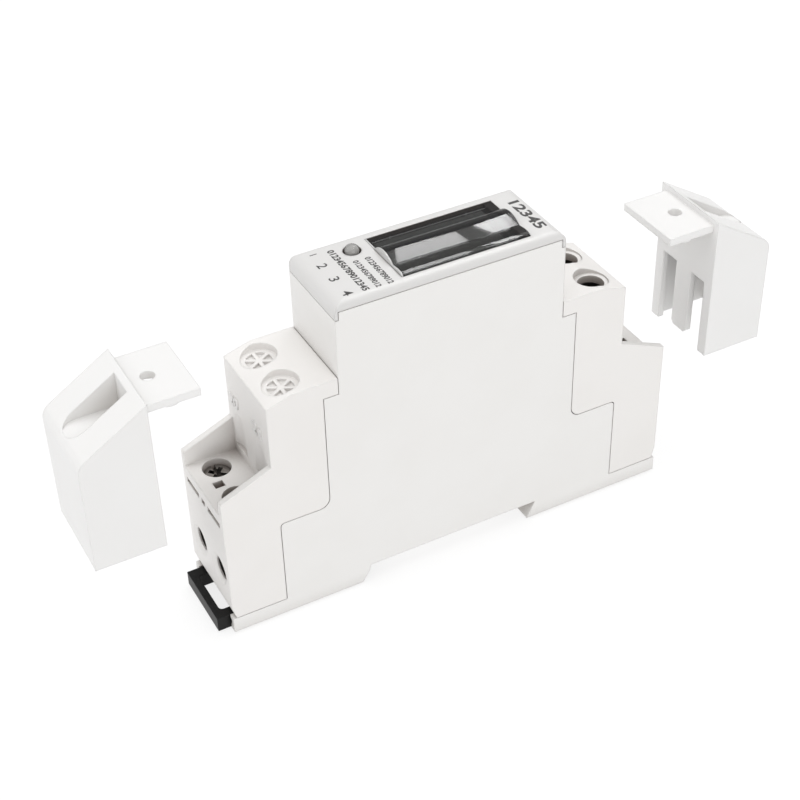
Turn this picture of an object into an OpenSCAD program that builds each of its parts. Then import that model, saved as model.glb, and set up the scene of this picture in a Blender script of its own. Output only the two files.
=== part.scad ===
// Single-phase energy meter, one module wide, for a 35 mm top-hat rail.
// The part lies on its rail face: X runs along the terminals, Y across the module, Z out to the front.
// The origin is at the middle of the rail face. The two end covers are drawn taken off, in line with
// their seats.

/* [Housing] */
// Length of the housing without its covers
body_l = 92; // [88:0.5:100]
// Width across the module
body_w = 17.6; // [17.6:0.1:19]
// Height from the rail face to the top of the front cap
body_h = 64; // [62:0.5:68]
// Thickness of the moulded walls
wall = 1.2; // [1:0.1:1.5]
// Length of the raised front block
front_l = 45; // [44:0.5:46]
// Thickness of the front cap above its seam
cap_t = 1.6; // [1.4:0.1:2.2]
// Height of the strip of housing that runs under each terminal block
strip_h = 3.2; // [3:0.1:3.4]
// Gap that shows as the seam between housing and terminal blocks
seam = 0.12; // [0.08:0.01:0.16]

/* [Terminal blocks] */
// Length of the sunk terminal pocket at each end
pocket_l = 9.9; // [9.7:0.1:10.4]
// Distance from the end to the ridge of the sloped shelf
ridge_l = 15.1; // [14:0.1:16]
// Height of the upper shelf
shelf_h = 49; // [48.6:0.1:50]
// Height of the shelf at its outer edge
shelf_edge_h = 47.5; // [47:0.1:48]
// Height of the pocket walls at the end face
wall_end_h = 30.6; // [30:0.1:31.5]
// Height of the pocket walls at the step
wall_step_h = 34.8; // [34:0.1:36]
// Height of the pocket floor
floor_h = 27.5; // [27.2:0.1:28]
// Distance between the two terminals of an end
terminal_pitch = 8.8; // [8.6:0.1:8.9]
// Height of the wire entries
entry_h = 12.3; // [12:0.1:12.6]
// Bore of a wire entry
entry_d = 4.6; // [4:0.1:4.8]

/* [Supply clamps] */
// Distance from the end face to the screws
screw_inset = 4.8; // [4.7:0.1:5]
// Diameter of the screw's access hole
access_d = 5.3; // [5.2:0.1:5.5]
// Diameter of the screw head
screw_head_d = 4.9; // [4.6:0.1:5]
// Diameter of the screw's shank
screw_d = 3.9; // [3.4:0.1:4]
// How far a cage can rise
cage_travel = 4.2; // [3:0.1:4.2]
// Height of the cage's window
cage_window_h = 7.7; // [7.5:0.1:7.8]
// Thickness of the supply bars
bar_t = 1.5; // [1.2:0.1:1.6]

/* [Pulse output] */
// Distance from the block's middle to the pulse output screws
pulse_x = 31.3; // [31:0.1:31.6]
// Diameter of the access hole over a pulse screw
pulse_access_d = 5; // [4.8:0.1:5.2]
// Diameter of a pulse screw's head
pulse_head_d = 4.4; // [4:0.1:4.5]
// Diameter of a pulse screw's shank
pulse_screw_d = 2.9; // [2.4:0.1:3]
// How far a pulse cage can rise
pulse_travel = 1.8; // [1.2:0.1:1.8]

/* [Rail side] */
// Width of the rail recess
rail_w = 36; // [35.8:0.1:36.4]
// Depth of the rail recess
rail_depth = 3.6; // [3.4:0.1:3.8]
// How far the fixed hook reaches under the rail
hook_reach = 1.8; // [1.4:0.1:2]
// Width of the rail clip
clip_w = 14.2; // [13.8:0.1:14.4]
// Thickness of the rail clip in its channel
clip_t = 2.2; // [2:0.1:2.3]
// How far the clip's handle stands out of the housing
clip_reach = 2.5; // [2.2:0.1:3]
// How far the clip can be pulled out
clip_travel = 2.5; // [2:0.1:2.6]

/* [Covers] */
// Depth of a cover beyond the end face
cover_t = 12.9; // [12:0.1:14]
// Height of a cover's lower edge when it is seated
cover_low_h = 3.2; // [3.1:0.1:3.6]
// Height of a cover's upper edge when it is seated
cover_top_h = 33.5; // [33.2:0.1:34]
// Slope of a cover's top
cover_slope = 32; // [30:1:34]
// Radius of a cover's shoulder
cover_round = 3; // [2.5:0.1:3.5]
// Height of the cover's wire cut-outs when it is seated
cutout_h = 19.1; // [18:0.1:20]
// Thickness of the cover's plate
plate_t = 1.5; // [1.4:0.1:1.6]
// Sideways distance of each cover from its seat as it is shown
cover_off_x = 10; // [8:0.5:14]
// Height of the left cover above its seat as it is shown
left_off_z = 23; // [20:0.5:26]
// Height of the right cover above its seat as it is shown
right_off_z = 21.4; // [20:0.5:26]

/* [Display] */
// Length of the display window
window_l = 25.4; // [24:0.1:26]
// Width of the display window
window_w = 13.7; // [13:0.1:13.8]
// Place of the window's middle along the housing
window_x = 3.65; // [3.4:0.05:3.8]
// Height of the lens above the window
lens_h = 1.4; // [1:0.1:2]
// Diameter of the pulse light
light_d = 3.1; // [2.8:0.1:3.3]
// Place of the pulse light along the housing
light_x = -12.5; // [-12.8:0.1:-12.2]
// Place of the pulse light across the housing
light_y = 4.4; // [4.2:0.1:4.6]

/* [Hidden] */
$fn = 64;

// Colours
body_white = [0.86, 0.86, 0.84];
block_white = [0.84, 0.83, 0.80];
cap_white = [0.93, 0.93, 0.93];
clip_black = [0.07, 0.07, 0.07];
steel_grey = [0.55, 0.56, 0.58];
brass = [0.80, 0.66, 0.35];
copper = [0.80, 0.47, 0.32];
board_green = [0.10, 0.35, 0.20];

// Places and clearances that follow from the sizes above
eps = 0.05;
side = body_w / 2;
end_x = body_l / 2;
front_x = front_l / 2;
step_x = end_x - pocket_l;
ridge_x = end_x - ridge_l;
term_y = terminal_pitch / 2;
cap_seam_h = body_h - cap_t;
fit_gap = 0.2;
slide_gap = 0.15;
face_gap = 0.1;

// Outline of the seam between housing and terminal block
neck_x = front_x + 2.9;
foot_x = end_x - 10.8;
jog_h = shelf_h - 3.4;
knee_h = 21.5;
knee_r = 2;
knee_small_r = 0.8;

// Front cap: its end skirts, its rounded edges and the snap tabs below it
skirt_l = 1.6;
skirt_t = 0.6;
cap_end_r = 2.2;
cap_edge_r = 1.2;
tab_l = 3;
tab_h = 3.9;
tab_t = 0.9;
tab_inset = [6.5, 3.5];

// Window: the foot of the crown on the far side, and the valley between crown and bead
window_y = -0.3;
window_flange = 0.5;
window_flange_t = 0.8;
crown_foot_y = 3.1;
valley_y = -3.45;
valley_rise = 0.3;
bead_bulge = 0.38;

// Housing floor, the levels that stand on it, and its ribs
case_floor_h = 5;
bar_h = 14.8;
bar_w = 3.8;
rib_t = 0.8;
rib_l = 1.2;
rib_inset = 0.5;
rib_h = 18;
rib_low_h = 23.5;
foot_place = 12;
foot_l = 2;
foot_w = 2.4;
ledge_place = 18.5;
ledge_l = 2;
ledge_t = 1.1;
ledge_drop = 5.6;

// Rail clip: the tongues that guide it, its nose, and the post behind its spring bow
clip_tongue = 0.5;
clip_tongue_h = 1.2;
clip_nose_x = -rail_w / 2 + 1.5;
post_x = -37.5;
post_r = 1.1;
bow_r = 6;
bow_t = 0.9;
handle_bar = 1.4;
handle_slot_l = 4.4;
handle_slot_w = 10.2;
handle_slot_r = 0.8;
handle_t = strip_h - 0.2;
notch_l = 4.4;
tongue_inset = 2;
nose_side = 1;
nose_lip = 0.9;
bow_window_side = 2.1;
bow_window_end = -rail_w / 2 - 4.4;

// Supply clamp: the head sits on a ledge, and the cage hangs on the thread below it
screw_x = end_x - screw_inset;
ledge_h = floor_h - 3.5;
head_t = 2.2;
// The cross and the slot of a screw head, as shares of its diameter or height
cross_l = 0.7;
cross_w = 0.17;
drive_slot_w = 0.14;
drive_slot_depth = 0.7;
end_wall = 1.6;
chamber_w = 6.4;
chamber_low = strip_h + 1.8;
cage_l = 6;
cage_w = chamber_w - 2 * fit_gap;
cage_side_t = 0.8;
cage_top_t = 1.8;
cage_low_t = 1.4;
cage_top_h = bar_h + bar_t + 0.4 + cage_top_t;
chamber_top = cage_top_h + cage_travel + 0.2;
thread_gap = 0.05;
funnel_flare = 2;
funnel_l = 0.6;

// Relief in the end face: thin slots above the entries, and the slope down to the strip
slot_h = floor_h - 3.3;
slot_t = 1.1;
slot_depth = 0.7;
slot_in_y = 1.9;
slot_out_y = 7.3;
slot_mid_w = 1.5;
foot_slope = 0.7;
foot_slope_h = 2.4;

// Niche in the step face for the blade of a screwdriver
niche_depth = 0.7;
niche_rise = 2;
niche_h = 7.5;
niche_tilt = 4;

// Round recess in the shelf, and the wheel in its floor
recess_d = 6.6;
recess_h = shelf_edge_h + 0.1;
wheel_d = 4.8;
wheel_depth = 0.5;
spoke_t = 0.65;

// Pulse clamp
pulse_ledge_h = 42.2;
pulse_head_t = 1.8;
pulse_chamber_low = 30.4;
pulse_cage_l = 6.4;
pulse_end_gap = 0.3;
pulse_cage_w = 5.6;
pulse_cage_top_t = 1.4;
pulse_cage_low_t = 1.1;
pulse_window_h = 5.6;
contact_h = 36.4;
contact_t = 0.8;
contact_w = 3.4;
pulse_cage_top_h = contact_h + contact_t + 0.4 + pulse_cage_top_t;
pulse_chamber_top = pulse_cage_top_h + pulse_travel + 0.2;
pulse_entry_h = 34.3;
pulse_entry_d = 3.4;
pulse_flare = 1.2;

// Supply bars: one runs through, the other is broken by the measuring shunt
bar_end_x = end_x - end_wall - 0.4;
shunt_half_l = 8;
shunt_share = 0.7;
shunt_notch_x = 2.5;
shunt_notch_r = 0.7;

// Boards and the display on the upper one
board_t = 1.6;
board_low_h = 20.6;
display_board_h = cap_seam_h - 6.4;
board_top_h = display_board_h - 1.4;
display_board_t = 1.2;
light_box_t = 1.4;
light_box_margin = 0.5;
panel_t = 2.2;
panel_l = window_l - 2;
panel_w = window_w - 3;
panel_step_w = 1;

// Board parts: film capacitor, smoothing capacitor, varistor, meter chip, pulse coupler and header
film_x = -19;
film_h = 24;
film_size = [17.5, 5.6, 11];
film_chamfer = 0.8;
smooth_x = -12;
smooth_h = 28;
smooth_r = 3.1;
smooth_l = 11;
varistor_x = 11;
varistor_h = 32;
varistor_r = 4.2;
varistor_t = 3.6;
round_over = 0.5;
chip_x = 5;
chip_h = 33;
chip_size = [10, 1.6, 4];
lead_size = [0.42, 0.9, 1.2];
lead_pitch = 1.27;
coupler_x = 17;
coupler_h = 38;
coupler_size = [4.6, 3.4, 6.4];
header_x = 6;
header_pins = 8;
header_cell = [2, 2.5, 2.5];
header_pin_w = 0.6;

// Cover seated on the right-hand end
cover_gap = 0.12;
cover_in_x = end_x + cover_gap;
cover_out_x = cover_in_x + cover_t;
cover_wall = 1.2;
plate_top_h = cover_top_h - 1.2;
leg_half_w = 2.3;
outer_leg_y = 6.5;
leg_rise = 1.4;
leg_chamfer = 0.7;
scoop_half_w = 3;
scoop_wall = 0.8;
scoop_floor_h = cover_top_h - 7.5;
scoop_out = 1;
seal_x = end_x - 3.3;
seal_d = 2.6;
seal_hole = [1.9, 1.7];
seal_depth = 2.5;
peg_d = access_d - 1;
peg_l = 1;

// Points of an arc in the drawing plane
function arc_points(cx, cy, r, from, to, count = 10) =
    [for (i = [0 : count]) let (a = from + (to - from) * i / count) [cx + r * cos(a), cy + r * sin(a)]];

// Points of the shallow arc that bulges upwards between two places in the drawing plane
function bulge_points(from, to, bulge, count = 14) =
    let (half = norm(to - from) / 2,
        r = (half * half + bulge * bulge) / (2 * bulge),
        spread = asin(half / r),
        lean = atan2(from[1] - to[1], from[0] - to[0]),
        mid = (from + to) / 2,
        centre = mid - (r - bulge) * [-sin(lean), cos(lean)])
    arc_points(centre[0], centre[1], r, 90 + lean - spread, 90 + lean + spread, count);

// Mirrors a list of points to the left and turns its order round
function to_left(points) = [for (i = [len(points) - 1 : -1 : 0]) [-points[i][0], points[i][1]]];

// Draws a side profile, given as X and Z, between two places across the module
module profile_slab(points, y_from, y_to) {
    translate([0, y_to, 0])
        rotate([90, 0, 0])
            linear_extrude(y_to - y_from)
                polygon(points);
}

// Repeats a shape for the near and the far terminal
module both_terminals() {
    for (s = [-1, 1])
        translate([0, s * term_y, 0])
            children();
}

// Places a right-hand shape at the end that is named
module at_end(right) {
    if (right)
        children();
    else
        mirror([1, 0, 0])
            children();
}

// Right half of the housing's outline above the strip, drawn inwards by t
function half_case(t, low_h) = concat(
    [[foot_x - t, low_h]],
    t > 0 ? [[foot_x - t, knee_h - t]]
        : arc_points(foot_x - knee_small_r, knee_h - knee_small_r, knee_small_r, 0, 90, 6),
    arc_points(neck_x + knee_r, knee_h + knee_r, knee_r + t, -90, -180, 8),
    [[neck_x - t, jog_h - t], [front_x - t, jog_h - t], [front_x - t, cap_seam_h - seam]]);

module case_block() {
    profile_slab(concat(half_case(0, 0), to_left(half_case(0, 0))), -side, side);
    translate([-end_x, -side, 0])
        cube([body_l, body_w, strip_h]);
}

module case_hollow() {
    t = wall;
    profile_slab(concat(half_case(t, case_floor_h), to_left(half_case(t, case_floor_h))),
        -side + t, side - t);
    translate([-front_x + t, -side + t, jog_h])
        cube([front_l - 2 * t, body_w - 2 * t, body_h - jog_h]);
}

// Recess for the rail, with a lead-in at the clip's side and an undercut at the hook's side
module rail_recess() {
    profile_slab([[-rail_w / 2 - 1.8, -eps], [-rail_w / 2 - 0.2, 2.4], [-rail_w / 2, rail_depth],
        [rail_w / 2, rail_depth], [rail_w / 2 - hook_reach, -eps]], -side - 1, side + 1);
}

// Channel in which the rail clip slides
module clip_channel() {
    length = end_x - rail_w / 2 + 3;
    translate([-end_x - 1, -clip_w / 2 - slide_gap, -1])
        cube([length, clip_w + 2 * slide_gap, 1 + clip_t + slide_gap]);
    // Notch over the handle, through which a tool reaches its slot
    translate([-end_x - 1, -clip_w / 2 - slide_gap, -1])
        cube([notch_l + 1, clip_w + 2 * slide_gap, strip_h + 2]);
    translate([-end_x - 1, -clip_w / 2 - clip_tongue - slide_gap, clip_tongue_h - slide_gap])
        cube([length, clip_w + 2 * (clip_tongue + slide_gap), clip_t - clip_tongue_h + 2 * slide_gap]);
}

module case_ribs() {
    foot_h = board_low_h - fit_gap - case_floor_h;
    for (s = [-1, 1]) {
        // Edge guides of the main board
        for (r = [-1, 1])
            translate([s * (neck_x - wall - rib_inset), r * (board_t / 2 + fit_gap + rib_t / 2),
                rib_low_h + rib_h / 2])
                cube([rib_l, rib_t, rib_h], center = true);
        // Feet under the main board
        translate([s * foot_place - foot_l / 2, -foot_w / 2, case_floor_h - eps])
            cube([foot_l, foot_w, foot_h + eps]);
        // Ledges under the display board
        for (r = [-1, 1])
            translate([s * ledge_place, r * (side - wall - ledge_t / 2 + eps),
                display_board_h - fit_gap - ledge_drop / 2])
                cube([ledge_l, ledge_t, ledge_drop], center = true);
    }
}

module main_case() {
    color(body_white) {
        difference() {
            case_block();
            case_hollow();
            rail_recess();
            clip_channel();
            // Rebate for the front cap's end skirts
            for (e = [-1, 1])
                translate([e * front_x, 0, cap_seam_h])
                    cube([2 * (skirt_t + seam), body_w + 2, 2 * (skirt_l + seam)], center = true);
            // Slots for the supply bars
            for (e = [-1, 1])
                both_terminals()
                    translate([e * (foot_x - wall / 2), 0, bar_h + bar_t / 2])
                        cube([wall + 1, bar_w + 2 * fit_gap, bar_t + 2 * fit_gap], center = true);
            // Slots for the pulse contacts
            both_terminals()
                translate([neck_x - wall / 2, 0, contact_h + contact_t / 2])
                    cube([wall + 1, contact_w + 2 * fit_gap, contact_t + 2 * fit_gap], center = true);
        }
        case_ribs();
        // Post that the clip's spring bow pushes against
        translate([post_x, 0, 0.3])
            cylinder(r = post_r, h = case_floor_h - 2.5);
    }
}

// Side outline of the front cap, with its end skirts
module cap_side_profile() {
    skirt_h = cap_seam_h - skirt_l;
    r = cap_end_r;
    points = concat(
        [[front_x, skirt_h]],
        arc_points(front_x - r, body_h - r, r, 0, 90),
        arc_points(-front_x + r, body_h - r, r, 90, 180),
        [[-front_x, skirt_h], [-front_x + skirt_t, skirt_h], [-front_x + skirt_t, cap_seam_h],
            [front_x - skirt_t, cap_seam_h], [front_x - skirt_t, skirt_h]]);
    profile_slab(points, -side, side);
}

// End outline of the front cap, rounded along both long edges
module cap_end_profile() {
    r = cap_edge_r;
    points = concat(
        [[side, 0]],
        arc_points(side - r, body_h - r, r, 0, 90),
        arc_points(-side + r, body_h - r, r, 90, 180),
        [[-side, 0]]);
    translate([-front_x - 1, 0, 0])
        rotate([90, 0, 90])
            linear_extrude(front_l + 2)
                polygon(points);
}

module front_cap() {
    cut_low_h = cap_seam_h - skirt_l;
    cut_h = body_h + 1 - cut_low_h;
    color(cap_white)
        difference() {
            union() {
                intersection() {
                    cap_side_profile();
                    cap_end_profile();
                }
                // Snap tabs inside the housing's side walls
                for (x = [-front_x + tab_inset[0], front_x - tab_inset[1]], s = [-1, 1])
                    translate([x - tab_l / 2, s * (side - wall - fit_gap - tab_t / 2) - tab_t / 2,
                        cap_seam_h - tab_h])
                        cube([tab_l, tab_t, tab_h + eps]);
            }
            translate([window_x - window_l / 2, window_y - window_w / 2, cut_low_h])
                cube([window_l, window_w, cut_h]);
            translate([light_x, light_y, cut_low_h])
                cylinder(d = light_d + 2 * face_gap, h = cut_h);
        }
}

// Window plate with a flange under the cap; its lens is a wide crown with a low bead in front of it
module display_window() {
    plate_h = body_h - face_gap / 2;
    half = window_w / 2 - face_gap;
    crown = [crown_foot_y - window_y, plate_h];
    valley = [valley_y - window_y, plate_h + valley_rise];
    points = concat(
        [[half, cap_seam_h - face_gap], [half, plate_h]],
        bulge_points(crown, valley, lens_h - valley_rise / 2),
        bulge_points(valley, [-half, plate_h], bead_bulge, 10),
        [[-half, cap_seam_h - face_gap]]);
    color([0.25, 0.25, 0.26, 0.7]) {
        translate([window_x - window_l / 2 + face_gap, window_y, 0])
            rotate([90, 0, 90])
                linear_extrude(window_l - 2 * face_gap)
                    polygon(points);
        translate([window_x - window_l / 2 - window_flange, window_y - window_w / 2 - window_flange,
            cap_seam_h - face_gap - window_flange_t + eps])
            cube([window_l + 2 * window_flange, window_w + 2 * window_flange, window_flange_t]);
    }
}

// Grey dome over the pulse light, with its stem down to the display board
module pulse_light() {
    low_h = display_board_h + display_board_t + face_gap;
    color([0.55, 0.55, 0.55])
        translate([light_x, light_y, 0]) {
            translate([0, 0, low_h])
                cylinder(d = light_d, h = body_h - low_h);
            intersection() {
                translate([0, 0, body_h - light_d * 0.3])
                    sphere(r = light_d * 0.585);
                translate([0, 0, body_h - 1])
                    cylinder(d = light_d, h = 3);
            }
        }
}

// Right-hand outline of a terminal block
function block_points() = concat(
    [[end_x - foot_slope, strip_h + seam], [end_x, strip_h + seam + foot_slope_h],
        [end_x, wall_end_h], [step_x, wall_step_h], [step_x, shelf_edge_h],
        [ridge_x, shelf_h], [front_x + seam, shelf_h], [front_x + seam, jog_h + seam],
        [neck_x + seam, jog_h + seam]],
    arc_points(neck_x + seam + knee_r, knee_h + seam + knee_r, knee_r, 180, 270, 8),
    arc_points(foot_x + seam - knee_small_r, knee_h + seam - knee_small_r, knee_small_r, 90, 0, 6),
    [[foot_x + seam, strip_h + seam]]);

// Funnel and bore of a wire entry, pointing in along -X from x
module wire_entry(x, h, d, flare, depth) {
    translate([x, 0, h])
        rotate([0, -90, 0]) {
            translate([0, 0, -eps])
                cylinder(d = d, h = depth);
            translate([0, 0, -eps])
                cylinder(d1 = d + flare, d2 = d, h = funnel_l);
        }
}

// Six sunk fields between the spokes of a small wheel, down from z = 0
module wheel_fields() {
    translate([0, 0, -wheel_depth])
        intersection() {
            cylinder(d = wheel_d, h = 2 * wheel_depth);
            for (i = [0 : 5])
                rotate([0, 0, i * 60])
                    translate([spoke_t, 0, 0])
                        linear_extrude(2 * wheel_depth)
                            polygon([[0, 0], wheel_d * [cos(30), sin(30)], wheel_d * [cos(30), -sin(30)]]);
        }
}

// Leaning round niche that starts above the pocket floor and runs out in the step face
module blade_niche() {
    half = sqrt(pow(screw_x - step_x + niche_depth, 2) - pow(screw_x - step_x, 2)) + eps;
    intersection() {
        translate([screw_x, 0, floor_h + niche_rise])
            rotate([0, niche_tilt, 0])
                translate([0, 0, -1])
                    cylinder(r = screw_x - step_x + niche_depth, h = niche_h + 1);
        translate([step_x - 2 * niche_depth, -half, floor_h + niche_rise])
            cube([2 * niche_depth + eps, 2 * half, niche_h]);
    }
}

// Clamp chambers of an end, with their screw holes and wire entries
module clamp_chambers() {
    inner_x = screw_x - cage_l / 2 - fit_gap;
    outer_x = end_x - end_wall;
    both_terminals() {
        // Passage for the supply bar, open to the housing
        translate([foot_x - 1, -chamber_w / 2, chamber_low])
            cube([outer_x - foot_x + 1, chamber_w, knee_h - wall - chamber_low]);
        translate([inner_x, -chamber_w / 2, chamber_low])
            cube([outer_x - inner_x, chamber_w, chamber_top - chamber_low]);
        translate([screw_x, 0, ledge_h])
            cylinder(d = access_d, h = floor_h - ledge_h + 1);
        translate([screw_x, 0, chamber_top - 1])
            cylinder(d = screw_d + 0.5, h = ledge_h - chamber_top + 2);
        wire_entry(end_x, entry_h, entry_d, funnel_flare, end_wall + 1);
    }
}

// Chambers of the pulse clamps, open to the housing
module pulse_chambers() {
    both_terminals() {
        translate([neck_x - 1, -chamber_w / 2, pulse_chamber_low])
            cube([pulse_x + pulse_cage_l / 2 + pulse_end_gap - neck_x + 1, chamber_w,
                pulse_chamber_top - pulse_chamber_low]);
        translate([pulse_x, 0, pulse_ledge_h])
            cylinder(d = pulse_access_d, h = shelf_h - pulse_ledge_h + 1);
        translate([pulse_x, 0, pulse_chamber_top - 1])
            cylinder(d = pulse_screw_d + 0.5, h = pulse_ledge_h - pulse_chamber_top + 2);
        wire_entry(step_x, pulse_entry_h, pulse_entry_d, pulse_flare, 3);
    }
}

module terminal_block(pulse) {
    difference() {
        profile_slab(block_points(), -side, side);
        // Sunk pocket, open at the end face
        translate([step_x, -side + wall, floor_h])
            cube([pocket_l + 1, body_w - 2 * wall, wall_step_h - floor_h + 1]);
        clamp_chambers();
        // Hole for the seal screw of the cover
        translate([seal_x - seal_hole[0] / 2, -seal_hole[1] / 2, floor_h - seal_depth])
            cube([seal_hole[0], seal_hole[1], seal_depth + 1]);
        // Thin slots above the wire entries
        for (y = [-slot_out_y, slot_in_y])
            translate([end_x - slot_depth, y, slot_h])
                cube([slot_depth + 1, slot_out_y - slot_in_y, slot_t]);
        translate([end_x - slot_depth, -slot_mid_w / 2, slot_h])
            cube([slot_depth + 1, slot_mid_w, slot_t]);
        both_terminals()
            translate([pulse_x, 0, recess_h]) {
                cylinder(d = recess_d, h = shelf_h - recess_h + 1);
                if (!pulse)
                    wheel_fields();
            }
        if (pulse)
            pulse_chambers();
        else
            both_terminals()
                blade_niche();
    }
}

module left_terminal_block() {
    color(block_white)
        at_end(false)
            terminal_block(false);
}

module right_terminal_block() {
    color(block_white)
        at_end(true)
            terminal_block(true);
}

// Side profile of a seated cover, drawn inwards by t
function cover_points(t) =
    let (centre_x = cover_out_x - cover_round,
        fall = cover_round + (centre_x - cover_in_x) * sin(cover_slope),
        centre_h = cover_top_h - fall / cos(cover_slope),
        inner_h = cover_top_h - t / cos(cover_slope) - t * tan(cover_slope))
    concat([[cover_in_x + t, t > 0 ? -1 : cover_low_h], [cover_in_x + t, inner_h]],
        arc_points(centre_x, centre_h, cover_round - t, 90 - cover_slope, 0),
        [[cover_out_x - t, t > 0 ? -1 : cover_low_h]]);

// Finger scoop in the cover's sloped top, grown by t for its own walls
module scoop(t) {
    x_from = cover_in_x + cover_wall - t;
    x_to = cover_out_x - scoop_out + t;
    half = scoop_half_w + t;
    translate([0, 0, scoop_floor_h - t])
        linear_extrude(cover_top_h)
            union() {
                translate([x_from, -half])
                    square([x_to - half - x_from, 2 * half]);
                translate([x_to - half, 0])
                    circle(r = half);
            }
}

module seated_cover() {
    difference() {
        union() {
            difference() {
                profile_slab(cover_points(0), -side, side);
                profile_slab(cover_points(cover_wall), -side + cover_wall, side - cover_wall);
            }
            intersection() {
                profile_slab(cover_points(0), -side, side);
                scoop(scoop_wall);
            }
            // Plate that lies over the terminal pocket, with a short peg over each screw
            translate([step_x + 0.3, -side + wall + fit_gap, plate_top_h - plate_t])
                cube([pocket_l - 0.3 + cover_gap + cover_wall / 2, body_w - 2 * (wall + fit_gap), plate_t]);
            both_terminals()
                translate([screw_x, 0, plate_top_h - plate_t - peg_l])
                    cylinder(d = peg_d, h = peg_l + eps);
        }
        scoop(0);
        translate([seal_x, 0, 0])
            cylinder(d = seal_d, h = cover_top_h + 1);
        // Cut-outs for the wires, which leave a leg between them
        for (s = [-1, 1])
            translate([cover_in_x - 1, s < 0 ? -outer_leg_y : leg_half_w, -1])
                cube([cover_wall + 2, outer_leg_y - leg_half_w, cutout_h + 1]);
        translate([cover_in_x - 1, -outer_leg_y, -1])
            cube([cover_wall + 2, 2 * outer_leg_y, cover_low_h + leg_rise + 1]);
        // Chamfered corners of that leg's tip
        for (s = [-1, 1])
            translate([cover_in_x + cover_wall / 2, s * leg_half_w, cover_low_h + leg_rise])
                rotate([45, 0, 0])
                    cube([cover_wall + 2, leg_chamfer * sqrt(2), leg_chamfer * sqrt(2)], center = true);
    }
}

module left_cover() {
    color(cap_white)
        translate([-cover_off_x, 0, left_off_z])
            at_end(false)
                seated_cover();
}

module right_cover() {
    color(cap_white)
        translate([cover_off_x, 0, right_off_z])
            at_end(true)
                seated_cover();
}

// Rail clip: a loop handle, a tongued slide with a spring bow in its window, and a ramped nose
module rail_clip() {
    out_x = -end_x - clip_reach;
    half = clip_w / 2;
    bow_x = post_x + post_r + clip_travel + 0.3;
    window_x_low = post_x - post_r - 0.3;
    color(clip_black)
        difference() {
            union() {
                // Handle, thicker than the slide
                translate([out_x, -half, 0])
                    cube([clip_reach + notch_l - 0.3, clip_w, handle_t]);
                // Slide
                translate([out_x, -half, 0])
                    cube([-rail_w / 2 - 0.4 - out_x, clip_w, clip_t]);
                translate([-end_x + tongue_inset, -half - clip_tongue, clip_tongue_h])
                    cube([end_x - rail_w / 2 - 2 * tongue_inset, clip_w + 2 * clip_tongue,
                        clip_t - clip_tongue_h]);
                // Nose with a ramp that lets the rail push it aside
                profile_slab([[-rail_w / 2 - 1, 0], [-rail_w / 2 - 0.6, 0], [clip_nose_x, clip_t - nose_lip],
                    [clip_nose_x, clip_t], [-rail_w / 2 - 1, clip_t]], -half + nose_side, half - nose_side);
            }
            // Tool slot of the handle, rounded at its outer corners
            translate([out_x + handle_bar, 0, -1])
                linear_extrude(handle_t + 2)
                    union() {
                        translate([handle_slot_r, -handle_slot_w / 2])
                            square([handle_slot_l - handle_slot_r, handle_slot_w]);
                        translate([0, -handle_slot_w / 2 + handle_slot_r])
                            square([handle_slot_r, handle_slot_w - 2 * handle_slot_r]);
                        for (s = [-1, 1])
                            translate([handle_slot_r, s * (handle_slot_w / 2 - handle_slot_r)])
                                circle(r = handle_slot_r);
                    }
            // Spring window, in which the bow stays
            difference() {
                translate([window_x_low, -half + bow_window_side, -1])
                    cube([bow_window_end - window_x_low, clip_w - 2 * bow_window_side, clip_t + 2]);
                translate([bow_x + bow_r, 0, -2])
                    difference() {
                        cylinder(r = bow_r, h = clip_t + 4);
                        translate([0, 0, -1])
                            cylinder(r = bow_r - bow_t, h = clip_t + 6);
                        translate([0, -bow_r - 1, -1])
                            cube([2 * bow_r, 2 * bow_r + 2, clip_t + 6]);
                    }
            }
        }
}

// Screw with a crossed and slotted head, standing on the ledge at z = 0
module clamp_screw(head_d, head_h, shank_d, shank_l) {
    color(steel_grey)
        difference() {
            union() {
                cylinder(d = head_d, h = head_h);
                translate([0, 0, -shank_l])
                    cylinder(d = shank_d, h = shank_l + eps);
            }
            for (a = [45, 135])
                rotate([0, 0, a])
                    translate([0, 0, head_h])
                        cube([head_d * cross_l, head_d * cross_w, head_h], center = true);
            rotate([0, 0, 90])
                translate([0, 0, head_h])
                    cube([head_d + 1, head_d * drive_slot_w, head_h * drive_slot_depth], center = true);
        }
}

module supply_screw(right, far) {
    x = right ? screw_x : -screw_x;
    translate([x, far ? term_y : -term_y, ledge_h])
        clamp_screw(screw_head_d, head_t, screw_d, ledge_h - bar_h - bar_t - 0.2);
}

module pulse_screw(far) {
    translate([pulse_x, far ? term_y : -term_y, pulse_ledge_h])
        clamp_screw(pulse_head_d, pulse_head_t, pulse_screw_d, pulse_ledge_h - contact_h - contact_t - 0.2);
}

// Rising clamp cage: a frame along X with a threaded hole in its top, whose top face is at z = 0
module clamp_cage(length, width, window_h, top_t, low_t, hole_d) {
    height = window_h + top_t + low_t;
    color([0.72, 0.70, 0.62])
        difference() {
            translate([-length / 2, -width / 2, -height])
                cube([length, width, height]);
            translate([-length / 2 - 1, -width / 2 + cage_side_t, -height + low_t])
                cube([length + 2, width - 2 * cage_side_t, window_h]);
            translate([0, 0, -top_t - 1])
                cylinder(d = hole_d, h = top_t + 2);
        }
}

module supply_cage(right, far) {
    translate([right ? screw_x : -screw_x, far ? term_y : -term_y, cage_top_h])
        clamp_cage(cage_l, cage_w, cage_window_h, cage_top_t, cage_low_t, screw_d + 2 * thread_gap);
}

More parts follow.
